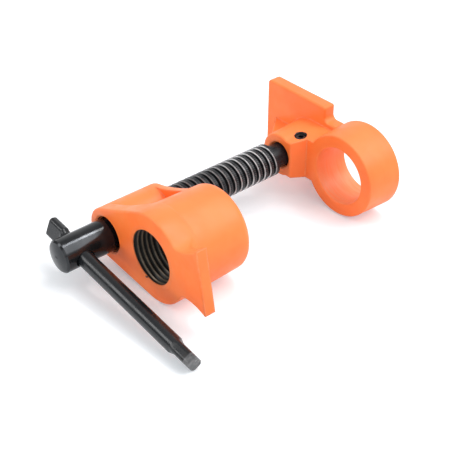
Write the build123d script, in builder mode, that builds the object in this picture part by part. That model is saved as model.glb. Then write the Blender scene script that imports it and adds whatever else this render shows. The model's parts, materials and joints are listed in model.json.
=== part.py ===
from build123d import *
import os
from math import asin, atan2, cos, degrees, radians, sin, sqrt, tan

# A pipe clamp head. All sizes are in millimetres and +Z is up.
# The origin is the centre of the pipe bore on the front face of the head casting.
# +X runs along the pipe from the head towards the jaw.
# Both castings are drawn in their own a and b directions, square to X:
# a runs towards the screw axis, and b lies across it, pointing up.

# How the clamp lies on the table
head_lean = 9.6          # the line through the head's two bores dips this many degrees
shell_lean = 8.45        # the head's outside dips this many degrees, turned about the screw axis
jaw_lean = -1.2          # the jaw's a direction, which rises this many degrees

# Clearances
run_gap = 0.05           # radial gap between a shaft and its hole
end_gap = 0.02           # gap between faces that meet

# The pipe that the clamp slides on
pipe_pitch_centre = 25.0     # distance from the pipe axis to the screw axis
head_bore_r = 9.55           # minor radius of the pipe thread in the head
head_bore_lead = 0.8         # size of the chamfer at the back mouth, where the pipe goes in
ring_bore_r = 10.95          # smooth bore of the jaw, which slides on the pipe
ring_bore_round = 0.5        # rounding of both mouths of that bore

# Head casting
plate_t = 4.2            # thickness of the front plate and the foot
barrel_r = 15.9          # barrel radius at the front
barrel_len = 29.5
barrel_draft = 1.6       # degrees by which the barrel narrows to the back
barrel_rim = 3.0         # rounding of the barrel's back rim
barrel_root = 4.5        # hollow rounding where the barrel grows out of the front plate
boss_r = 9.45            # screw boss of the head
boss_len = 24.8
web_half = 6.9           # half thickness of the web between the boss and the barrel
wall_t = 3.6             # thickness of the wall that closes the pocket
wall_rim = 1.7           # rounding of the back rims of the wall and the screw boss
wall_inset = 0.02        # the wall's rim runs this far inside the barrel's surface
wall_dip = 1.0           # depth of the hollow in the wall's top, between the boss and the barrel
foot_end = -24.7         # a position of the foot's end
foot_half = 11.4         # half width of the foot's end
neck_a = -15.5           # a position of the foot's narrowest place
neck_half = 8.4          # half width there
mouth_r = 7.15           # countersink round the screw in the front face
mouth_depth = 0.55
casting_edge = 0.45      # rounding of the front plate's edges
pocket_fillet = 2.2      # rounding where the pocket's floor meets its sides

# Lead screw
thread_r = 6.35          # major radius of the screw thread
thread_root_r = 4.85
thread_pitch = 2.82
crest_half = 0.64        # half width of the thread's flat crest
flank_half = 1.28        # half width of the thread at its root
ridge_sink = 0.15        # how far the ridge is sunk into the core
thread_from = 3.75       # X where the ridge starts
thread_to = 72.84        # X where the ridge ends
core_to = 74.3           # X where the core steps down to the neck
plain_r = 5.84           # plain head of the screw
head_from = -19.1        # X of the head's outer rim
head_to = -0.8           # X where the plain head ends, just outside the casting
head_dome = 0.7          # height of the domed end
head_bevel = 0.6         # bevel at the outer rim
head_relief = 1.2        # length of the slope from the plain head to the thread's root
neck_r = 4.65
nose_chamfer = 0.5
nose_gap = 0.6           # distance from the nose to the middle of the thrust ball
groove_r = 3.05          # root of the groove that the retaining screw sits in

# Thrust ball between the nose and the jaw
ball_r = 2.5
ball_x = 91.2

# Handle bar
bar_x = -12.4            # X of the cross hole's axis
bar_r = 2.85
bar_roll = 187.8         # direction of the bar's lower end, in degrees from +Y about +X
bar_top = -5.95          # where the round of the bar ends above, from the screw axis
bar_shoulder = 52.2      # where the round of the bar ends below
wing_end = -14.6         # end of the pressed upper end
tip_end = 61.6           # end of the pressed lower end
wing_t = 3.3             # thickness of the pressed upper end
wing_w = 7.0             # width of the pressed upper end
wing_turn = -18.0        # direction of the upper end's flats, in degrees from +X
tip_t = 4.2              # thickness of the pressed lower end
tip_w = 5.8              # width of the pressed lower end
tip_turn = 31.0          # direction of the lower end's flats, in degrees from +X
press_round = 1.3        # rounding of the pressed ends along the bar
press_slope = 1.6        # length of the slope from the round to a pressed end
bar_chamfer = 0.35       # chamfer at both ends of the bar
cross_bevel = 0.3        # countersink of the cross hole

# Jaw casting
jaw_back = 99.0          # X of the clamping face
clamp_plate_t = 5.3
ring_len = 15.0
jaw_boss_len = 21.0
ring_r_front = 15.75
ring_r_back = 16.4
ring_edge = 0.5          # rounding of the ring's front rim
jaw_boss_r_front = 8.35
jaw_boss_r_back = 9.3
ridge_in = 6.1           # the jaw boss is cut off this far from the screw axis, towards the ring
saddle_out = 0.65        # the sloping face beside the boss meets the ring this far outside its rim
neck_top_front = 7.4     # half width of the jaw's neck at the boss front
neck_top_back = 9.5      # and at the clamping plate
body_half = 11.3         # half width of the neck beside the clamping plate
plate_a_in = 17.6        # clamping plate, a positions of its ends
plate_a_out = 48.4
plate_half = 17.15       # half height of the clamping plate
plate_round = 1.0        # rounding of the clamping plate's corners beside the neck
plate_round_out = 1.6    # and of its outer corners
hollow_round = 2.0       # rounding where the plate's end meets the neck
plate_edge = 0.7         # rounding of the plate's and the ring's edges
boss_edge = 0.7          # rounding of the jaw boss's front edges
neck_inset = 6.0         # the neck starts this far from the pipe axis, inside the ring
rib_half = 2.4           # half thickness of the stiffening rib
rib_root = 7.4           # the rib's sloping edge starts this far from the screw axis
rib_setback = 2.6        # and this far behind the front of the jaw boss
rib_foot = 18.4          # it meets the clamping plate this far from the screw axis
socket_bevel = 0.75      # countersink at the mouth of the blind hole for the screw's neck

# Retaining screw in the jaw boss, a headless screw with a hexagon socket
pin_r = 2.08
pin_setback = 6.1        # its axis lies this far behind the front of the jaw boss
pin_top = 7.9            # b position of its outer end
pin_tip = -3.0           # b position of its inner end
pin_chamfer = 0.35
pin_hole_deeper = 0.5    # the hole goes on this far beyond the screw's tip
hex_across = 2.0         # width of the hexagon socket across its flats
hex_depth = 2.2

# Derived places
screw_y = pipe_pitch_centre * cos(radians(head_lean))
screw_z = -pipe_pitch_centre * sin(radians(head_lean))
shell_y = screw_y - pipe_pitch_centre * cos(radians(shell_lean))
shell_z = screw_z + pipe_pitch_centre * sin(radians(shell_lean))
jaw_y = screw_y - pipe_pitch_centre * cos(radians(jaw_lean))
jaw_z = screw_z + pipe_pitch_centre * sin(radians(jaw_lean))
screw_axis = Axis((0, screw_y, screw_z), (1, 0, 0))
wall_front = boss_len - wall_t
nose_x = ball_x - nose_gap
socket_x = ball_x + ball_r + end_gap
ring_front = jaw_back - ring_len
jaw_boss_front = jaw_back - jaw_boss_len
plate_x = jaw_back - clamp_plate_t
ridge_a = pipe_pitch_centre - ridge_in
saddle_a = ring_r_front + saddle_out
rib_x_root = jaw_boss_front + rib_setback
rib_a_root = pipe_pitch_centre + rib_root
rib_a_out = pipe_pitch_centre + rib_foot
pin_x = jaw_boss_front + pin_setback
screw_hole_r = thread_r + run_gap
socket_r = neck_r + run_gap
cross_r = bar_r + run_gap
groove_half = pin_r + run_gap
pin_hole_r = pin_r + end_gap
pin_a = pipe_pitch_centre - (groove_r + run_gap) - pin_r
far = 60.0               # longer than any cut needs
bite = 0.5               # overlap of solids that are joined
near = 0.01              # edges this close to a place are taken to be there


def square_plane(x, y, z, lean):
    """A plane square to X, with its own x along a and its own y along b."""
    across = (0, cos(radians(lean)), -sin(radians(lean)))
    return Plane(origin=(x, y, z), x_dir=across, z_dir=(1, 0, 0))


def side_plane(y, z, lean, b):
    """A plane square to b at height b, with its own x along X and its own y along a."""
    up = (0, sin(radians(lean)), cos(radians(lean)))
    return Plane(origin=(0, y + b * up[1], z + b * up[2]), x_dir=(1, 0, 0), z_dir=up)


def pipe_plane(x):
    return square_plane(x, 0, 0, head_lean)


def head_plane(x):
    return square_plane(x, shell_y, shell_z, shell_lean)


def on_head(edge):
    """The a and b position of an edge's middle in the head casting."""
    middle = head_plane(0).to_local_coords(edge.center())
    return middle.X, middle.Y


def jaw_plane(x):
    return square_plane(x, jaw_y, jaw_z, jaw_lean)


def jaw_side(b):
    return side_plane(jaw_y, jaw_z, jaw_lean, b)


def screw_plane(x):
    return Plane(origin=(x, screw_y, screw_z), x_dir=(0, 1, 0), z_dir=(1, 0, 0))


bar_dir = (0, cos(radians(bar_roll)), sin(radians(bar_roll)))


def bar_plane(s):
    """A plane square to the bar, s along it from the screw axis towards its lower end."""
    return Plane(
        origin=(bar_x, screw_y + s * bar_dir[1], screw_z + s * bar_dir[2]),
        x_dir=(1, 0, 0),
        z_dir=bar_dir,
    )


def on_circle(centre, r, degs):
    return (centre[0] + r * cos(radians(degs)), centre[1] + r * sin(radians(degs)))


def lengthwise(part, a, half):
    """The straight edges of the jaw along X that stand at a and at b = half or -half."""
    found = []
    for side in (-1, 1):
        here = jaw_plane(0).from_local_coords(Vector(a, side * half, 0))
        for e in part.edges().filter_by(Axis.X):
            if abs(e.center().Y - here.Y) < near and abs(e.center().Z - here.Z) < near:
                found.append(e)
    return found


def mirrored(p):
    return (p[0], -p[1])


# Places on the outline of the front plate, above its middle line
lean_in = degrees(asin((barrel_r - boss_r) / pipe_pitch_centre))
boss_touch = on_circle((pipe_pitch_centre, 0), boss_r, 90 - lean_in)
barrel_touch = on_circle((0, 0), barrel_r, 90 - lean_in)

hollow_r = (neck_a ** 2 + neck_half ** 2 - barrel_r ** 2) / (2 * (barrel_r - neck_half))
hollow_c = (neck_a, neck_half + hollow_r)
hollow_turn = degrees(atan2(hollow_c[1], hollow_c[0]))
hollow_touch = on_circle((0, 0), barrel_r, hollow_turn)
barrel_mid = on_circle((0, 0), barrel_r, (90 - lean_in + hollow_turn) / 2)
hollow_mid = on_circle(hollow_c, hollow_r, (hollow_turn - 180 - 90) / 2)
neck_point = (neck_a, neck_half)
foot_run = neck_a - foot_end
foot_rise = foot_half - neck_half
flare_r = (foot_run ** 2 + foot_rise ** 2) / (2 * foot_rise)
flare_turn = degrees(asin(foot_run / flare_r))
flare_mid = on_circle((neck_a, neck_half + flare_r), flare_r, 270 - flare_turn / 2)
foot_corner = (foot_end, foot_half)

with BuildPart() as back_wall:
    # Wall that closes the pocket, with the screw boss's back end
    wall_barrel_r = barrel_r - boss_len * tan(radians(barrel_draft)) - wall_inset
    wall_turn = 90 - degrees(asin((wall_barrel_r - boss_r) / pipe_pitch_centre))
    wall_boss_touch = on_circle((pipe_pitch_centre, 0), boss_r, wall_turn)
    wall_barrel_touch = on_circle((0, 0), wall_barrel_r, wall_turn)
    wall_mid = (Vector(*wall_boss_touch) + Vector(*wall_barrel_touch)) / 2
    wall_low = (wall_mid.X, wall_mid.Y - wall_dip)
    with BuildSketch(head_plane(wall_front)):
        Circle(wall_barrel_r)
        with Locations((pipe_pitch_centre, 0)):
            Circle(boss_r)
        with BuildLine():
            ThreePointArc(wall_boss_touch, wall_low, wall_barrel_touch)
            Line(wall_barrel_touch, mirrored(wall_barrel_touch))
            ThreePointArc(mirrored(wall_barrel_touch), mirrored(wall_low), mirrored(wall_boss_touch))
            Line(mirrored(wall_boss_touch), wall_boss_touch)
        make_face()
    extrude(amount=boss_len - wall_front)
    fillet(back_wall.faces().sort_by(Axis.X)[-1].edges(), wall_rim)

with BuildSketch(head_plane(0)) as front_outline:
    # Outline of the front plate with the foot
    with BuildLine():
        Line(boss_touch, barrel_touch)
        ThreePointArc(barrel_touch, barrel_mid, hollow_touch)
        ThreePointArc(hollow_touch, hollow_mid, neck_point)
        ThreePointArc(neck_point, flare_mid, foot_corner)
        Line(foot_corner, mirrored(foot_corner))
        ThreePointArc(mirrored(foot_corner), mirrored(flare_mid), mirrored(neck_point))
        ThreePointArc(mirrored(neck_point), mirrored(hollow_mid), mirrored(hollow_touch))
        ThreePointArc(mirrored(hollow_touch), mirrored(barrel_mid), mirrored(barrel_touch))
        Line(mirrored(barrel_touch), mirrored(boss_touch))
        ThreePointArc(mirrored(boss_touch), (pipe_pitch_centre + boss_r, 0), boss_touch)
    make_face()

with BuildPart() as root_collar:
    # Hollow rounding between the barrel and the plate, kept inside the plate's outline
    root_r = barrel_r - plate_t * tan(radians(barrel_draft)) - bite
    root_out = root_r + bite + barrel_root
    root_mid = barrel_root * (1 - cos(radians(45)))
    with BuildSketch(Plane(origin=(0, shell_y, shell_z), x_dir=(1, 0, 0), z_dir=(0, 0, 1))):
        with BuildLine():
            Line((plate_t - bite, 0), (plate_t - bite, root_out))
            Line((plate_t - bite, root_out), (plate_t, root_out))
            ThreePointArc(
                (plate_t, root_out),
                (plate_t + root_mid, root_out - barrel_root + root_mid),
                (plate_t + barrel_root, root_out - barrel_root),
            )
            Line((plate_t + barrel_root, root_out - barrel_root), (plate_t + barrel_root, 0))
            Line((plate_t + barrel_root, 0), (plate_t - bite, 0))
        make_face()
    revolve(axis=Axis((0, shell_y, shell_z), (1, 0, 0)))
    extrude(front_outline.sketch, amount=far, mode=Mode.INTERSECT)

with BuildPart() as head_casting:
    # Front plate with the foot
    extrude(front_outline.sketch, amount=plate_t)
    foot_edges = head_casting.faces().sort_by(Axis.X)[0].edges()
    fillet(foot_edges, casting_edge)
    add(root_collar.part)
    # Barrel, screw boss, web and the pocket's back wall
    with BuildSketch(head_plane(plate_t - bite)):
        Circle(barrel_r - (plate_t - bite) * tan(radians(barrel_draft)))
    extrude(amount=barrel_len - plate_t + bite, taper=barrel_draft)
    fillet(head_casting.faces().sort_by(Axis.X)[-1].edges(), barrel_rim)
    with BuildSketch(head_plane(plate_t - bite)):
        with Locations((pipe_pitch_centre, 0)):
            Circle(boss_r)
    extrude(amount=wall_front - plate_t + 2 * bite)
    with BuildSketch(head_plane(plate_t - bite)):
        with Locations((pipe_pitch_centre / 2, 0)):
            Rectangle(pipe_pitch_centre, 2 * web_half)
    extrude(amount=wall_front - plate_t + 2 * bite)
    pocket_edges = [
        e
        for e in head_casting.edges()
        if e.bounding_box().size.X > wall_front / 2
        and on_head(e)[0] > barrel_r / 2
        and web_half - bite < abs(on_head(e)[1]) < web_half + bite
    ]
    fillet(pocket_edges, pocket_fillet)
    add(back_wall.part)
    # Holes
    with BuildSketch(pipe_plane(0)):
        Circle(head_bore_r)
    extrude(amount=barrel_len, mode=Mode.SUBTRACT)
    with BuildSketch(pipe_plane(barrel_len)):
        Circle(head_bore_r + head_bore_lead)
    extrude(amount=-head_bore_lead, taper=45, mode=Mode.SUBTRACT)
    with BuildSketch(screw_plane(0)):
        Circle(screw_hole_r)
    extrude(amount=boss_len, mode=Mode.SUBTRACT)
    with BuildSketch(screw_plane(0)):
        Circle(mouth_r)
    extrude(
        amount=mouth_depth,
        taper=degrees(atan2(mouth_r - screw_hole_r, mouth_depth)),
        mode=Mode.SUBTRACT,
    )

with BuildPart() as lead_screw:
    # Head, core, neck and nose, turned about the screw axis
    dome_r = ((plain_r - head_bevel) ** 2 + head_dome ** 2) / (2 * head_dome)
    dome_mid_r = (plain_r - head_bevel) / 2
    dome_mid_x = head_from - head_dome + dome_r - sqrt(dome_r ** 2 - dome_mid_r ** 2)
    with BuildSketch(Plane(origin=(0, screw_y, screw_z), x_dir=(1, 0, 0), z_dir=(0, 0, 1))):
        with BuildLine():
            ThreePointArc(
                (head_from - head_dome, 0),
                (dome_mid_x, dome_mid_r),
                (head_from, plain_r - head_bevel),
            )
            Polyline(
                (head_from, plain_r - head_bevel),
                (head_from + head_bevel, plain_r),
                (head_to, plain_r),
                (head_to + head_relief, thread_root_r),
                (core_to, thread_root_r),
                (core_to, neck_r),
                (pin_x - groove_half, neck_r),
                (pin_x - groove_half, groove_r),
                (pin_x + groove_half, groove_r),
                (pin_x + groove_half, neck_r),
                (nose_x - nose_chamfer, neck_r),
                (nose_x, neck_r - nose_chamfer),
                (nose_x, 0),
                (head_from - head_dome, 0),
            )
        make_face()
    revolve(axis=screw_axis)
    # Thread ridge
    with BuildLine(mode=Mode.PRIVATE) as ridge_path:
        Helix(
            pitch=thread_pitch,
            height=thread_to - thread_from,
            radius=thread_root_r - ridge_sink,
            center=(thread_from, screw_y, screw_z),
            direction=(1, 0, 0),
        )
    ridge_start = ridge_path.line @ 0
    ridge_out = ridge_start - Vector(thread_from, screw_y, screw_z)
    ridge_height = thread_r - thread_root_r + ridge_sink
    with BuildSketch(Plane(origin=ridge_start, x_dir=ridge_out, z_dir=ridge_path.line % 0)) as ridge:
        with BuildLine():
            Polyline(
                (0, -flank_half),
                (ridge_height, -crest_half),
                (ridge_height, crest_half),
                (0, flank_half),
                close=True,
            )
        make_face()
    sweep(sections=ridge.sketch, path=ridge_path.line, is_frenet=True)
    # Cross hole for the handle bar, with a countersink at both ends
    with BuildSketch(bar_plane(-plain_r)):
        Circle(cross_r)
    extrude(amount=2 * plain_r, mode=Mode.SUBTRACT)
    for side in (-1, 1):
        with BuildSketch(bar_plane(side * plain_r)):
            Circle(cross_r + 2 * cross_bevel)
        extrude(amount=-side * 2 * cross_bevel, taper=45, mode=Mode.SUBTRACT)
    # Cup for the thrust ball
    with Locations((ball_x, screw_y, screw_z)):
        Sphere(ball_r + end_gap, mode=Mode.SUBTRACT)

with BuildPart() as thrust_ball:
    with Locations((ball_x, screw_y, screw_z)):
        Sphere(ball_r)

with BuildPart() as handle_bar:
    with BuildSketch(bar_plane(bar_top)):
        Circle(bar_r)
    extrude(amount=bar_shoulder - bar_top)
    ends = (
        (bar_top, bar_top - press_slope, wing_end, wing_t, wing_w, wing_turn),
        (bar_shoulder, bar_shoulder + press_slope, tip_end, tip_t, tip_w, tip_turn),
    )
    for round_end, flat_start, flat_end, thick, wide, turn in ends:
        with BuildSketch(bar_plane(round_end)):
            Circle(bar_r)
        with BuildSketch(bar_plane(flat_start)):
            RectangleRounded(thick, wide, press_round, rotation=turn)
        loft()
        with BuildSketch(bar_plane(flat_start)):
            RectangleRounded(thick, wide, press_round, rotation=turn)
        extrude(amount=flat_end - flat_start)
    end_faces = [
        handle_bar.faces().sort_by(Axis.Y)[0],
        handle_bar.faces().sort_by(Axis.Y)[-1],
    ]
    chamfer(end_faces[0].edges() + end_faces[1].edges(), bar_chamfer)

# Half width of the jaw's neck, which narrows towards the boss front
neck_slope = (neck_top_back - neck_top_front) / (plate_x - jaw_boss_front)
neck_mid = (neck_inset + pipe_pitch_centre) / 2

with BuildPart() as jaw_casting:
    # Clamping plate and the neck beside it
    with BuildSketch(jaw_plane(plate_x)):
        with Locations(((plate_a_in + plate_a_out) / 2, 0)):
            Rectangle(plate_a_out - plate_a_in, 2 * plate_half)
        with Locations((neck_mid, 0)):
            Rectangle(pipe_pitch_centre - neck_inset, 2 * body_half)
    extrude(amount=clamp_plate_t)
    fillet(lengthwise(jaw_casting, plate_a_out, plate_half), plate_round_out)
    fillet(lengthwise(jaw_casting, plate_a_in, plate_half), plate_round)
    fillet(lengthwise(jaw_casting, plate_a_in, body_half), hollow_round)
    fillet(jaw_casting.faces().sort_by(Axis.X)[0].edges(), plate_edge)
    # Ring
    with Locations(Location(jaw_plane(ring_front))):
        Cone(ring_r_front, ring_r_back, jaw_back - ring_front, align=(Align.CENTER, Align.CENTER, Align.MIN))
    fillet(jaw_casting.faces().sort_by(Axis.X)[-1].edges(), plate_edge)
    fillet(jaw_casting.faces().sort_by(Axis.X)[0].edges(), ring_edge)
    # Screw boss
    with Locations(Location(jaw_plane(jaw_boss_front)) * Location((pipe_pitch_centre, 0, 0))):
        Cone(
            jaw_boss_r_front,
            jaw_boss_r_back,
            plate_x - jaw_boss_front + bite,
            align=(Align.CENTER, Align.CENTER, Align.MIN),
        )
    # Neck from the boss to the ring, narrower at the boss front
    with BuildSketch(jaw_plane(jaw_boss_front)):
        with Locations((neck_mid, 0)):
            Rectangle(pipe_pitch_centre - neck_inset, 2 * neck_top_front)
    with BuildSketch(jaw_plane(plate_x + bite)):
        with Locations((neck_mid, 0)):
            Rectangle(pipe_pitch_centre - neck_inset, 2 * (neck_top_back + bite * neck_slope))
    loft()
    # Sloping face between the boss front and the ring front
    with BuildSketch(jaw_side(-far)):
        with BuildLine():
            Polyline(
                (jaw_boss_front - bite, ridge_a),
                (jaw_boss_front, ridge_a),
                (ring_front, saddle_a),
                (ring_front, -pipe_pitch_centre),
                (jaw_boss_front - bite, -pipe_pitch_centre),
                close=True,
            )
        make_face()
    extrude(amount=2 * far, mode=Mode.SUBTRACT)
    fillet(jaw_casting.faces().sort_by(Axis.X)[0].edges(), boss_edge)
    # Stiffening rib from the boss to the clamping plate
    with BuildSketch(jaw_side(-rib_half)):
        with BuildLine():
            Polyline(
                (rib_x_root, rib_a_root),
                (plate_x + bite, rib_a_out + bite * (rib_a_out - rib_a_root) / (plate_x - rib_x_root)),
                (plate_x + bite, pipe_pitch_centre + thread_r),
                (rib_x_root, pipe_pitch_centre + thread_r),
                close=True,
            )
        make_face()
    extrude(amount=2 * rib_half)
    # Pipe bore, blind socket for the screw's neck and the hole for the retaining screw
    with BuildSketch(jaw_plane(ring_front)):
        Circle(ring_bore_r)
    extrude(amount=ring_len, mode=Mode.SUBTRACT)
    mouths = [
        e
        for e in jaw_casting.edges().filter_by(GeomType.CIRCLE)
        if abs(e.radius - ring_bore_r) < near
    ]
    fillet(mouths, ring_bore_round)
    with BuildSketch(screw_plane(jaw_boss_front)):
        Circle(socket_r)
    extrude(amount=socket_x - jaw_boss_front, mode=Mode.SUBTRACT)
    with BuildSketch(screw_plane(jaw_boss_front)):
        Circle(socket_r + socket_bevel)
    extrude(amount=socket_bevel, taper=45, mode=Mode.SUBTRACT)
    with BuildSketch(jaw_side(pin_tip - pin_hole_deeper)):
        with Locations((pin_x, pin_a)):
            Circle(pin_hole_r)
    extrude(amount=far, mode=Mode.SUBTRACT)

with BuildPart() as retaining_screw:
    with BuildSketch(jaw_side(pin_tip)):
        with Locations((pin_x, pin_a)):
            Circle(pin_r)
    extrude(amount=pin_top - pin_tip)
    chamfer(retaining_screw.edges().filter_by(GeomType.CIRCLE), pin_chamfer)
    with BuildSketch(jaw_side(pin_top)):
        with Locations((pin_x, pin_a)):
            RegularPolygon(hex_across / 2, 6, major_radius=False)
    extrude(amount=-hex_depth, mode=Mode.SUBTRACT)

os.makedirs("parts", exist_ok=True)
head_casting.part.label = "head_casting"
jaw_casting.part.label = "jaw_casting"
lead_screw.part.label = "lead_screw"
handle_bar.part.label = "handle_bar"
retaining_screw.part.label = "retaining_screw"
thrust_ball.part.label = "thrust_ball"
export_step(head_casting.part, "parts/head_casting.step")
export_step(jaw_casting.part, "parts/jaw_casting.step")
export_step(lead_screw.part, "parts/lead_screw.step")
export_step(handle_bar.part, "parts/handle_bar.step")
export_step(retaining_screw.part, "parts/retaining_screw.step")
export_step(thrust_ball.part, "parts/thrust_ball.step")
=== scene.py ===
import json
import math

import bmesh
import bpy
from mathutils import Euler, Matrix, Vector


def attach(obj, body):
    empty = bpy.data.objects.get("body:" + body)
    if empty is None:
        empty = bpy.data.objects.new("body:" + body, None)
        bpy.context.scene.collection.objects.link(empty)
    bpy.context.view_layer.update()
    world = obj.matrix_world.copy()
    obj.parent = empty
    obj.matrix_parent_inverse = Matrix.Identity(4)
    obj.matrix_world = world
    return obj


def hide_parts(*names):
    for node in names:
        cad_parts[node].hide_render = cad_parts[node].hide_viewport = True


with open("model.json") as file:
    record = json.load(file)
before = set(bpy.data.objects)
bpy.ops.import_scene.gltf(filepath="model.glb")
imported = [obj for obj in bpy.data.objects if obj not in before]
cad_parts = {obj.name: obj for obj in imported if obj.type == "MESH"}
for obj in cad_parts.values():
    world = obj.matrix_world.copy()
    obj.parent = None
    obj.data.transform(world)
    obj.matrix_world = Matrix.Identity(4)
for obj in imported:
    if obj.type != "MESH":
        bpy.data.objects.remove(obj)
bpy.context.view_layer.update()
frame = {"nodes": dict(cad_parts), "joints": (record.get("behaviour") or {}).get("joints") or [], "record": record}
nodes = frame["nodes"]
mounts = {m["name"]: m for m in frame["record"]["mounts"]}
joints = {j["name"]: j for j in frame["joints"]}

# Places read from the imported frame, in metres
MM = 0.001
pipe_centre = Vector(mounts["pipe_thread"]["pos_m"])
pipe_bore_r = mounts["pipe_thread"]["dims"]["r_mm"] * MM
pipe_bore_len = mounts["pipe_thread"]["dims"]["length_mm"] * MM
ring_centre = Vector(mounts["pipe_slide"]["pos_m"])
ring_bore_r = mounts["pipe_slide"]["dims"]["r_mm"] * MM
ring_len = mounts["pipe_slide"]["dims"]["length_mm"] * MM
screw_centre = Vector(joints["screw_turn"]["pos_m"])
bar_dir = Vector(joints["bar_slide"]["axis"])

# The camera that fits the photograph, with its turn in degrees
PHOTO_SIZE = 452
FOCAL_PX = 995.3
SENSOR_MM = 36.0
CAMERA_AT = (-0.14388, -0.20836, 0.18610)
CAMERA_TURN = (55.305, 0.823, -40.586)
CAMERA_CLIP = 0.01

# The table under the clamp, which slopes by a few degrees in the clamp's frame.
# The camera sees it a little lifted near the clamp and fully white far away.
TABLE_AT = (0.0, 0.0, -0.0164)
TABLE_SLOPE = 3.07
TABLE_SIZE = 6.0
TABLE_PALE = (0.80, 0.80, 0.81)
TABLE_GLOW = (0.88, 1.0, 1.08)
TABLE_LIFT = 0.27
TABLE_WHITE_FROM = 0.35
TABLE_WHITE_TO = 1.30

# The soft sky of the studio, as levels on a white surface and directions from the clamp
SKY_TOWARD = (0.50, -0.40, 0.77)
SKY_LEVEL = 0.42
SKY_SLOPE = 0.30
BACK_TOWARD = (0.53, 0.83, 0.17)
BACK_LEVEL = 0.6
BACK_FROM = 0.75
BACK_TO = 0.97

# The lamps: name, place, size, and level on a white surface at the point they aim at
LAMP_AIM = (0.045, 0.0, -0.01)
LAMPS = (
    ("key", (0.42, -0.38, 0.76), (0.6, 1.0), 0.73),
    ("strip", (0.42, 0.04, 0.90), (0.22, 0.06), 0.12),
    ("front_fill", (-0.05, -0.85, 0.50), (0.9, 0.5), 0.10),
    ("left_fill", (-0.90, -0.32, 0.42), (0.7, 0.55), 0.11),
    ("low_left", (-1.10, 0.02, 0.15), (0.35, 0.18), 0.19),
    ("bar_streak", (-0.60, 0.49, 0.60), (0.38, 0.38), 0.22),
)

# The thread cut in the pipe bore. The profile is one turn of it, as places along the
# pitch and shares of the depth.
PIPE_PITCH = 1.814 * MM
PIPE_THREAD_DEPTH = 1.10 * MM
PIPE_LIP = 0.25 * MM
PIPE_RUN_IN = 1.1 * MM
PIPE_LINER_T = 0.12 * MM
PIPE_PROFILE = (
    (0.0, 0.0), (0.10, 0.0), (0.16, 0.10), (0.50, 0.96), (0.55, 1.0), (0.60, 0.96), (0.94, 0.10),
)
AROUND = 120
WELD = 1e-7

# Colours, linear
ORANGE = (1.0, 0.178, 0.030)
ORANGE_PALE = (1.0, 0.226, 0.048)
ORANGE_PAINTED_RIM_HIGHLIGHT = (1.0, 0.38, 0.17)
ORANGE_PAINTED_TOP_LIGHT = (1.0, 0.275, 0.085)
ORANGE_DEEP = (0.85, 0.130, 0.026)
BORE_PALE = (0.92, 0.38, 0.19)
BLACK = (0.0070, 0.0082, 0.0102)
BLACK_PALE = (0.012, 0.0135, 0.016)
HEAD_BLACK = (0.035, 0.037, 0.040)
HEAD_PALE = (0.050, 0.052, 0.055)
RUBBED_AND_HIGHLIGHT = (0.86, 0.86, 0.87)
DARK_METAL_AND_SHADE = (0.010, 0.009, 0.008)
STEEL = (0.56, 0.56, 0.57)
STEEL_PALE = (0.6, 0.6, 0.62)
WORN = (0.20, 0.20, 0.205)
OILED = (0.17, 0.13, 0.09)

# Places of wear that the photograph shows; the dark ring in the lead screw's hole is
# bare metal with painted shade. The chip's is from the middle of the bore's mouth, and
# the bar's are from the screw axis.
CHIP_AT = Vector((0.0, 3.3, -9.3)) * MM
CHIP_R = 1.5 * MM
HOLE_WEAR_R = 2.2 * MM
HOLE_WEAR_DEPTH = 6.0 * MM
MOUTH_R = 6.6 * MM
MOUTH_DEPTH = 6.0 * MM
BAR_LINE_AT = 58.7 * MM
BAR_TIP_FROM = 59.2 * MM

# Places along X on the lead screw: its head is glossy up to the first, and the thread
# beyond the third is rubbed and painted with bright highlights, most of all from the fifth to the sixth
GLOSS_FULL = -7.0 * MM
GLOSS_GONE = -3.0 * MM
RUB_FROM = 1.0 * MM
RUB_FAINT = 40.0 * MM
RUB_FULL = 60.0 * MM
RUB_FADES = 70.5 * MM
RUB_ENDS = 73.0 * MM

# The band on the thread's flanks that is rubbed and painted with highlights, as distances from its axis
FLANK_LOW = 5.80 * MM
FLANK_HIGH = 6.345 * MM


def make_camera():
    data = bpy.data.cameras.new("camera")
    data.sensor_width = SENSOR_MM
    data.lens = FOCAL_PX / PHOTO_SIZE * SENSOR_MM
    data.clip_start = CAMERA_CLIP
    camera = bpy.data.objects.new("camera", data)
    camera.location = CAMERA_AT
    camera.rotation_euler = Euler([math.radians(t) for t in CAMERA_TURN], "XYZ")
    bpy.context.scene.collection.objects.link(camera)
    bpy.context.scene.camera = camera


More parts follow.
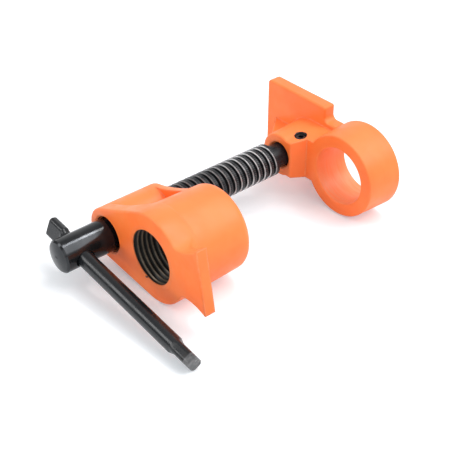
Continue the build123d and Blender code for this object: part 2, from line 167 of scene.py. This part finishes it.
class Nodes:
    """A short way to write a material's node tree."""

    def __init__(self, name, use_world=False):
        if use_world:
            self.owner = bpy.data.worlds.new(name)
        else:
            self.owner = bpy.data.materials.new(name)
        self.owner.use_nodes = True
        self.tree = self.owner.node_tree
        self.tree.nodes.clear()

    def add(self, kind, inputs=None, **settings):
        node = self.tree.nodes.new(kind)
        for key, value in settings.items():
            setattr(node, key, value)
        for key, value in (inputs or {}).items():
            socket = node.inputs[key]
            if isinstance(value, bpy.types.NodeSocket):
                self.tree.links.new(value, socket)
            else:
                if socket.type == "RGBA" and len(value) == 3:
                    value = (*value, 1.0)
                socket.default_value = value
        return node

    def place(self):
        """The shaded point in its object's coordinates, which are the frame's at rest."""
        return self.add("ShaderNodeTexCoord").outputs["Object"]

    def split(self, vector):
        return self.add("ShaderNodeSeparateXYZ", {"Vector": vector}).outputs

    def math(self, operation, a, b=0.0):
        return self.add("ShaderNodeMath", {0: a, 1: b}, operation=operation).outputs[0]

    def times(self, first, *others):
        for other in others:
            first = self.math("MULTIPLY", first, other)
        return first

    def vector_math(self, operation, a, b=None, output="Value"):
        inputs = {0: a} if b is None else {0: a, 1: b}
        return self.add("ShaderNodeVectorMath", inputs, operation=operation).outputs[output]

    def ramp(self, value, low, high, out_low=0.0, out_high=1.0):
        """From out_low where the value is low to out_high where it is high, smoothly."""
        ends = {"From Min": low, "From Max": high, "To Min": out_low, "To Max": out_high}
        node = self.add(
            "ShaderNodeMapRange", {"Value": value, **ends}, interpolation_type="SMOOTHSTEP"
        )
        return node.outputs["Result"]

    def mix(self, share, a, b):
        node = self.add("ShaderNodeMix", data_type="RGBA")
        for index, value in ((0, share), (6, a), (7, b)):
            socket = node.inputs[index]
            if isinstance(value, bpy.types.NodeSocket):
                self.tree.links.new(value, socket)
            elif index == 0:
                socket.default_value = value
            else:
                socket.default_value = (*value, 1.0)
        return node.outputs[2]

    def noise(self, scale, detail=3.0, roughness=0.55, stretch=(1, 1, 1)):
        """Noise whose marks are about one over the scale in metres."""
        mapped = self.add("ShaderNodeMapping", {"Vector": self.place(), "Scale": stretch})
        node = self.add(
            "ShaderNodeTexNoise",
            {
                "Vector": mapped.outputs[0],
                "Scale": scale,
                "Detail": detail,
                "Roughness": roughness,
            },
        )
        return node.outputs["Fac"]

    def clouds(self, scale, low, high, out_low=0.0, out_high=1.0, detail=3.0, stretch=(1, 1, 1)):
        """Noise made into soft patches, with the ends that ramp has."""
        noise = self.noise(scale, detail, stretch=stretch)
        return self.ramp(noise, low, high, out_low, out_high)

    def edge(self, radius, low, high):
        """1 on edges and inner corners, 0 on flat places, and the softened normal."""
        soft = self.add("ShaderNodeBevel", {"Radius": radius}, samples=6).outputs[0]
        flat = self.add("ShaderNodeNewGeometry").outputs["Normal"]
        agree = self.vector_math("DOT_PRODUCT", soft, flat)
        return self.ramp(agree, low, high, 1.0, 0.0), soft

    def bump(self, height, distance, normal=None, strength=1.0):
        inputs = {"Height": height, "Distance": distance, "Strength": strength}
        if normal is not None:
            inputs["Normal"] = normal
        return self.add("ShaderNodeBump", inputs).outputs[0]

    def principled(self, **inputs):
        """Ends the tree in a Principled shader and gives back the material."""
        inputs = {name.replace("_", " "): value for name, value in inputs.items()}
        shader = self.add("ShaderNodeBsdfPrincipled", inputs)
        self.add("ShaderNodeOutputMaterial", {"Surface": shader.outputs[0]})
        return self.owner


def from_line(n, centre, first="Y", second="Z"):
    """Distance of the shaded point from a line through centre, over the two named axes.

    The line runs along the third axis, which is X where none is named.
    """
    split = n.split(n.place())
    a = n.math("SUBTRACT", split[first], getattr(centre, first.lower()))
    b = n.math("SUBTRACT", split[second], getattr(centre, second.lower()))
    return n.math("SQRT", n.math("ADD", n.times(a, a), n.times(b, b)))


def enamel(name, *wear, lighten=None):
    """Orange enamel over a sand casting: slight waves, fine grain, painted highlights on edges and painted light
    on tops.

    Each wear is a function that returns where the enamel is off, from 0 to 1, and for the lead screw's hole also
    where it is painted dark as shade.
    The keyword one returns how much paler the enamel gets.
    """
    n = Nodes(name)
    patches = n.clouds(45.0, 0.35, 0.7, detail=4.0)
    colour = n.mix(patches, ORANGE, ORANGE_PALE)
    grains = n.clouds(1500.0, 0.62, 0.8, out_high=0.18, detail=2.0)
    colour = n.mix(grains, colour, ORANGE_DEEP)
    # Painted light: faces turned upwards get a paler orange, as if lit from above.
    up = n.split(n.add("ShaderNodeTexCoord").outputs["Normal"])["Z"]
    colour = n.mix(n.ramp(up, 0.1, 0.9, out_high=0.35), colour, ORANGE_PAINTED_TOP_LIGHT)
    # Painted highlight: enamel on edges and inner corners turns paler, broken up by noise.
    edge, soft = n.edge(1.0 * MM, 0.84, 0.995)
    rim_highlight = n.times(edge, n.clouds(400.0, 0.4, 0.7, 0.25, 0.65))
    colour = n.mix(rim_highlight, colour, ORANGE_PAINTED_RIM_HIGHLIGHT)
    if lighten:
        colour = n.mix(lighten(n), colour, BORE_PALE)
    # Bare metal where the enamel is off, and painted shade in the lead screw's hole.
    for bare_and_painted_light in wear:
        colour = n.mix(bare_and_painted_light(n), colour, DARK_METAL_AND_SHADE)
    waves = n.bump(n.noise(160.0, detail=2.0), 0.10 * MM, soft, strength=0.4)
    peel = n.bump(n.noise(800.0), 0.03 * MM, waves, strength=0.6)
    rough = n.clouds(260.0, 0.3, 0.7, 0.38, 0.50)
    return n.principled(Base_Color=colour, Roughness=rough, Normal=peel, Specular_IOR_Level=0.42)


def chipped(n):
    """A small chip in the enamel at the mouth of the pipe bore."""
    away = n.vector_math("DISTANCE", n.place(), pipe_centre + CHIP_AT)
    ragged = n.times(n.noise(1300.0), 1.6 * CHIP_R)
    return n.ramp(n.math("ADD", away, ragged), 1.02 * CHIP_R, 1.14 * CHIP_R, 1.0, 0.0)


def dark_mouth(n):
    """Bare dark metal in the countersink round the lead screw, with painted shade inside the hole."""
    along = n.split(n.place())["X"]
    ragged = n.times(n.noise(900.0), 0.5 * MM)
    out = n.math("ADD", from_line(n, screw_centre), ragged)
    # Painted shade: dark inside the hole's mouth, out to MOUTH_R and in to MOUTH_DEPTH.
    near = n.ramp(out, MOUTH_R, MOUTH_R + 0.15 * MM, 1.0, 0.0)
    return n.times(near, n.ramp(along, MOUTH_DEPTH - 2.0 * MM, MOUTH_DEPTH, 1.0, 0.0))


def paler_low_bore(n):
    """Paler enamel in the jaw's bore, most towards its bottom, in streaks round the bore."""
    out = from_line(n, ring_centre)
    inside = n.ramp(out, ring_bore_r + 0.1 * MM, ring_bore_r + 0.5 * MM, 1.0, 0.0)
    split = n.split(n.place())
    front = ring_centre.x - ring_len / 2
    behind_front = n.ramp(split["X"], front - 0.5 * MM, front)
    low = n.ramp(split["Z"], ring_centre.z - 0.9 * ring_bore_r, ring_centre.z, 1.0, 0.25)
    lines = n.clouds(150.0, 0.3, 0.7, 0.4, 0.8, stretch=(8.0, 1, 1))
    return n.times(inside, behind_front, low, lines)


def worn_hole(n):
    """Dark metal in the hole of the retaining screw, with a ragged rim."""
    corners = [Vector(c) for c in nodes["retaining_screw"].bound_box]
    middle = sum(corners, Vector()) / len(corners)
    ragged = n.times(n.noise(1100.0), -0.8 * MM)
    out = n.math("ADD", from_line(n, middle, "X", "Y"), ragged)
    near = n.ramp(out, HOLE_WEAR_R - 0.3 * MM, HOLE_WEAR_R - 0.1 * MM, 1.0, 0.0)
    floor = middle.z - HOLE_WEAR_DEPTH
    return n.times(near, n.ramp(n.split(n.place())["Z"], floor, floor + 1.0 * MM))


def along_bar(n):
    """Distance of the shaded point from the screw axis, towards the bar's lower end."""
    away = n.vector_math("SUBTRACT", n.place(), screw_centre, output="Vector")
    return n.vector_math("DOT_PRODUCT", away, -bar_dir)


def black_gloss(name, bar=False):
    """Glossy black finish on turned steel; the bar's pressed tip has wear."""
    n = Nodes(name)
    colour = n.mix(n.clouds(120.0, 0.4, 0.75, detail=4.0), BLACK, BLACK_PALE)
    edge, soft = n.edge(0.35 * MM, 0.8, 0.99)
    wear = n.times(edge, n.clouds(700.0, 0.45, 0.65, out_high=0.35))
    colour = n.mix(wear, colour, WORN)
    if bar:
        low = along_bar(n)
        tip = n.ramp(low, BAR_TIP_FROM, BAR_TIP_FROM + 0.6 * MM)
        tip = n.times(tip, n.clouds(500.0, 0.3, 0.7, 0.3, 0.65))
        colour = n.mix(tip, colour, WORN)
        line = n.math("ABSOLUTE", n.math("SUBTRACT", low, BAR_LINE_AT))
        colour = n.mix(n.ramp(line, 0.15 * MM, 0.35 * MM, 0.9, 0.0), colour, DARK_METAL_AND_SHADE)
    fine = n.bump(n.noise(420.0), 0.02 * MM, soft, strength=0.15)
    rough = n.clouds(300.0, 0.3, 0.7, 0.20, 0.30)
    return n.principled(Base_Color=colour, Roughness=rough, Normal=fine, Specular_IOR_Level=0.45)


def thread_black():
    """Black finish on the lead screw: glossy on its head, rubbed and painted with bright highlights on its thread.
    """
    n = Nodes("thread_black")
    out = from_line(n, screw_centre)
    along = n.split(n.place())["X"]
    # Rubbed steel and painted highlight: pale bands on the thread's flanks, fading towards the head.
    bare_and_painted_light = n.times(
        n.ramp(out, FLANK_LOW, FLANK_LOW + 0.20 * MM),
        n.ramp(out, FLANK_HIGH - 0.035 * MM, FLANK_HIGH, 1.0, 0.0),
        n.ramp(along, RUB_FROM, RUB_FROM + 0.4 * MM),
        n.ramp(along, RUB_FAINT, RUB_FULL, 0.35, 1.0),
        n.ramp(along, RUB_FADES, RUB_ENDS, 1.0, 0.1),
        n.clouds(500.0, 0.3, 0.6, 0.6, 1.0),
    )
    cloud = n.clouds(150.0, 0.4, 0.75, detail=4.0)
    head = n.ramp(along, GLOSS_FULL, GLOSS_GONE, 1.0, 0.0)
    colour = n.mix(bare_and_painted_light, n.mix(cloud, BLACK, BLACK_PALE), RUBBED_AND_HIGHLIGHT)
    colour = n.mix(head, colour, n.mix(cloud, HEAD_BLACK, HEAD_PALE))
    metal = n.math("MAXIMUM", n.times(bare_and_painted_light, 0.3), n.times(head, 0.8))
    lines = n.noise(300.0, detail=2.0, stretch=(14.0, 1, 1))
    turned = n.bump(lines, 0.02 * MM, strength=n.ramp(along, -2.0 * MM, 0.0, 0.05, 0.3))
    level = n.ramp(along, -1.5 * MM, 0.0, 0.16, 0.30)
    rough = n.times(n.clouds(350.0, 0.3, 0.7, 0.8, 1.2), level)
    return n.principled(
        Base_Color=colour, Metallic=metal, Roughness=rough, Normal=turned, Specular_IOR_Level=0.2
    )


def cut_thread():
    """Dark oiled metal of the cut pipe thread, rubbed on its crests, which darken deeper in the bore as painted
    shade.
    """
    n = Nodes("cut_thread")
    out = from_line(n, pipe_centre)
    # Crests rubbed bright, with painted shade: they darken deeper in the bore.
    rub_and_depth_shade = n.times(
        n.ramp(out, pipe_bore_r + 0.15 * MM, pipe_bore_r + 0.55 * MM, 1.0, 0.0),
        n.ramp(n.split(n.place())["X"], 4.0 * MM, 15.0 * MM, 1.0, 0.4),
        n.clouds(420.0, 0.3, 0.65, 0.6, 1.0),
    )
    colour = n.mix(rub_and_depth_shade, DARK_METAL_AND_SHADE, OILED)
    lines = n.bump(n.noise(260.0, stretch=(8.0, 1, 1)), 0.03 * MM, strength=0.5)
    rough = n.clouds(300.0, 0.3, 0.7, 0.34, 0.5)
    return n.principled(Base_Color=colour, Metallic=0.4, Roughness=rough, Normal=lines)


def bright_steel():
    """Polished steel of the ball."""
    n = Nodes("bright_steel")
    colour = n.mix(n.clouds(300.0, 0.3, 0.7), STEEL, STEEL_PALE)
    fine = n.bump(n.noise(900.0), 0.01 * MM, strength=0.3)
    rough = n.clouds(500.0, 0.3, 0.7, 0.12, 0.2)
    return n.principled(Base_Color=colour, Metallic=1.0, Roughness=rough, Normal=fine)


def paint(piece, material):
    piece.data.materials.clear()
    piece.data.materials.append(material)


def place_mesh(mesh, name):
    """Turns a bmesh into an object of the scene."""
    data = bpy.data.meshes.new(name)
    mesh.to_mesh(data)
    mesh.free()
    piece = bpy.data.objects.new(name, data)
    bpy.context.scene.collection.objects.link(piece)
    return piece


def on_pipe(x, r, turn):
    return pipe_centre + Vector((x, r * math.cos(turn), r * math.sin(turn)))


def step_round(vert):
    """Which of the steps round the pipe's axis a vertex stands on."""
    turn = math.atan2(vert.co.z - pipe_centre.z, vert.co.y - pipe_centre.y)
    return round(turn / math.tau * AROUND) % AROUND


def moved_out(vert, r):
    """The vertex's place moved straight out to a distance from the pipe's axis."""
    away = Vector((0, vert.co.y - pipe_centre.y, vert.co.z - pipe_centre.z)).normalized()
    return Vector((vert.co.x, pipe_centre.y + away.y * r, pipe_centre.z + away.z * r))


def thread_liner():
    """The bore's wall with its helical pipe thread, as a closed tube."""
    start = PIPE_LIP
    end = pipe_bore_len - PIPE_LIP
    outer = pipe_bore_r + PIPE_THREAD_DEPTH + PIPE_LINER_T
    turns = math.ceil((end - start) / PIPE_PITCH) + 1
    steps = [(k + share, depth) for k in range(-1, turns) for share, depth in PIPE_PROFILE]
    mesh = bmesh.new()
    rows = []
    for place, depth in steps:
        row = []
        for i in range(AROUND):
            share = i / AROUND
            x = start + (place + share) * PIPE_PITCH
            x = min(max(x, start), end)
            run_in = min(1.0, (x - start) / PIPE_RUN_IN, (end - x) / PIPE_RUN_IN)
            r = pipe_bore_r + PIPE_THREAD_DEPTH * depth * run_in
            row.append(mesh.verts.new(on_pipe(x, r, share * math.tau)))
        rows.append(row)
    pitch = len(PIPE_PROFILE)
    for j in range(len(rows) - 1):
        near, far = rows[j], rows[j + 1]
        for i in range(AROUND - 1):
            mesh.faces.new((near[i], near[i + 1], far[i + 1], far[i]))
        if j + 1 + pitch < len(rows):
            # The last column meets the first one a full pitch further on
            mesh.faces.new((near[-1], rows[j + pitch][0], rows[j + 1 + pitch][0], far[-1]))
    bmesh.ops.remove_doubles(mesh, verts=mesh.verts, dist=WELD)
    # The wall behind the thread: from the near rim out, along the pipe and in to the far rim
    rims = {v for e in mesh.edges if len(e.link_faces) == 1 for v in e.verts}
    middle = pipe_centre.x + (start + end) / 2
    near_rim = sorted((v for v in rims if v.co.x < middle), key=step_round)
    far_rim = sorted((v for v in rims if v.co.x > middle), key=step_round)
    near_wall = [mesh.verts.new(moved_out(v, outer)) for v in near_rim]
    far_wall = [mesh.verts.new(moved_out(v, outer)) for v in far_rim]
    for one, other in ((near_rim, near_wall), (near_wall, far_wall), (far_wall, far_rim)):
        for i in range(AROUND):
            mesh.faces.new((one[i], other[i], other[i - 1], one[i - 1]))
    bmesh.ops.dissolve_degenerate(mesh, edges=mesh.edges, dist=WELD)
    bmesh.ops.recalc_face_normals(mesh, faces=mesh.faces)
    piece = place_mesh(mesh, "pipe_thread")
    piece.data.polygons.foreach_set("use_smooth", [True] * len(piece.data.polygons))
    return piece


def bore_cutter(r, start, end):
    """A cylinder on the axis of the pipe bore, from start to end along X."""
    mesh = bmesh.new()
    bmesh.ops.create_cone(
        mesh, cap_ends=True, segments=AROUND, radius1=r, radius2=r, depth=end - start
    )
    turn = Matrix.Rotation(math.pi / 2, 4, "Y")
    middle = pipe_centre + Vector(((start + end) / 2, 0, 0))
    bmesh.ops.transform(mesh, matrix=Matrix.Translation(middle) @ turn, verts=mesh.verts)
    return place_mesh(mesh, "bore_cutter")


def threaded_head():
    """The head casting with room for the thread cut in its bore."""
    piece = bpy.data.objects.new("head_with_bore", nodes["head_casting"].data.copy())
    bpy.context.scene.collection.objects.link(piece)
    outer = pipe_bore_r + PIPE_THREAD_DEPTH + PIPE_LINER_T / 2
    cutter = bore_cutter(outer, PIPE_LIP, pipe_bore_len - PIPE_LIP)
    cut = piece.modifiers.new("cut", "BOOLEAN")
    cut.operation = "DIFFERENCE"
    cut.solver = "EXACT"
    cut.object = cutter
    bpy.context.view_layer.update()
    graph = bpy.context.evaluated_depsgraph_get()
    data = bpy.data.meshes.new_from_object(piece.evaluated_get(graph))
    piece.modifiers.clear()
    piece.data = data
    bpy.data.objects.remove(cutter)
    return piece


def make_table():
    """The pale table that the clamp lies on."""
    mesh = bmesh.new()
    bmesh.ops.create_grid(mesh, x_segments=1, y_segments=1, size=TABLE_SIZE / 2)
    table = place_mesh(mesh, "table")
    table.location = TABLE_AT
    table.rotation_euler = (0, math.radians(TABLE_SLOPE), 0)
    n = Nodes("table_white")
    path = n.add("ShaderNodeLightPath").outputs
    pale = n.add("ShaderNodeBsdfDiffuse", {"Color": TABLE_PALE}).outputs[0]
    away = n.vector_math("LENGTH", n.place())
    level = n.ramp(away, TABLE_WHITE_FROM, TABLE_WHITE_TO, TABLE_LIFT, 1.0)
    lift = n.add("ShaderNodeEmission", {"Color": TABLE_GLOW, "Strength": level}).outputs[0]
    none = n.add("ShaderNodeEmission", {"Strength": 0.0}).outputs[0]
    seen = n.math("MAXIMUM", path["Is Camera Ray"], path["Is Glossy Ray"])
    glow = n.add("ShaderNodeMixShader", {0: seen, 1: none, 2: lift}).outputs[0]
    both = n.add("ShaderNodeAddShader", {0: pale, 1: glow}).outputs[0]
    n.add("ShaderNodeOutputMaterial", {"Surface": both})
    paint(table, n.owner)


def make_world():
    """White behind the clamp, and a soft sky that is brightest at the right and behind."""
    n = Nodes("studio", use_world=True)
    path = n.add("ShaderNodeLightPath").outputs
    toward = n.add("ShaderNodeTexCoord").outputs["Generated"]
    high = n.vector_math("DOT_PRODUCT", toward, SKY_TOWARD)
    behind = n.vector_math("DOT_PRODUCT", toward, BACK_TOWARD)
    level = n.math("ADD", n.times(high, SKY_SLOPE), SKY_LEVEL)
    level = n.math("ADD", level, n.ramp(behind, BACK_FROM, BACK_TO, out_high=BACK_LEVEL))
    dim = n.add("ShaderNodeBackground", {"Color": (1, 1, 1), "Strength": level}).outputs[0]
    white = n.add("ShaderNodeBackground", {"Color": (1, 1, 1), "Strength": 1.0}).outputs[0]
    shown = n.add("ShaderNodeMixShader", {0: path["Is Camera Ray"], 1: dim, 2: white}).outputs[0]
    n.add("ShaderNodeOutputWorld", {"Surface": shown})
    bpy.context.scene.world = n.owner


def softbox(name, place, size, level):
    """A flat lamp that lights a white surface facing it at the aim to the given level."""
    away = Vector(place) - Vector(LAMP_AIM)
    data = bpy.data.lights.new(name, "AREA")
    data.shape = "RECTANGLE"
    data.size, data.size_y = size
    data.energy = level * math.pi ** 2 * away.length_squared
    lamp = bpy.data.objects.new(name, data)
    lamp.location = place
    lamp.rotation_euler = away.to_track_quat("Z", "Y").to_euler()
    bpy.context.scene.collection.objects.link(lamp)


make_camera()
make_world()
make_table()
for lamp in LAMPS:
    softbox(*lamp)

head = threaded_head()
paint(head, enamel("head_enamel", chipped, dark_mouth))
liner = thread_liner()
paint(liner, cut_thread())
for piece in (head, liner):
    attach(piece, "head")
    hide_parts("head_casting")

paint(nodes["jaw_casting"], enamel("jaw_enamel", worn_hole, lighten=paler_low_bore))
paint(nodes["lead_screw"], thread_black())
paint(nodes["handle_bar"], black_gloss("bar_gloss", bar=True))
paint(nodes["retaining_screw"], black_gloss("pin_gloss"))
paint(nodes["thrust_ball"], bright_steel())

bpy.context.scene.view_settings.view_transform = "Standard"
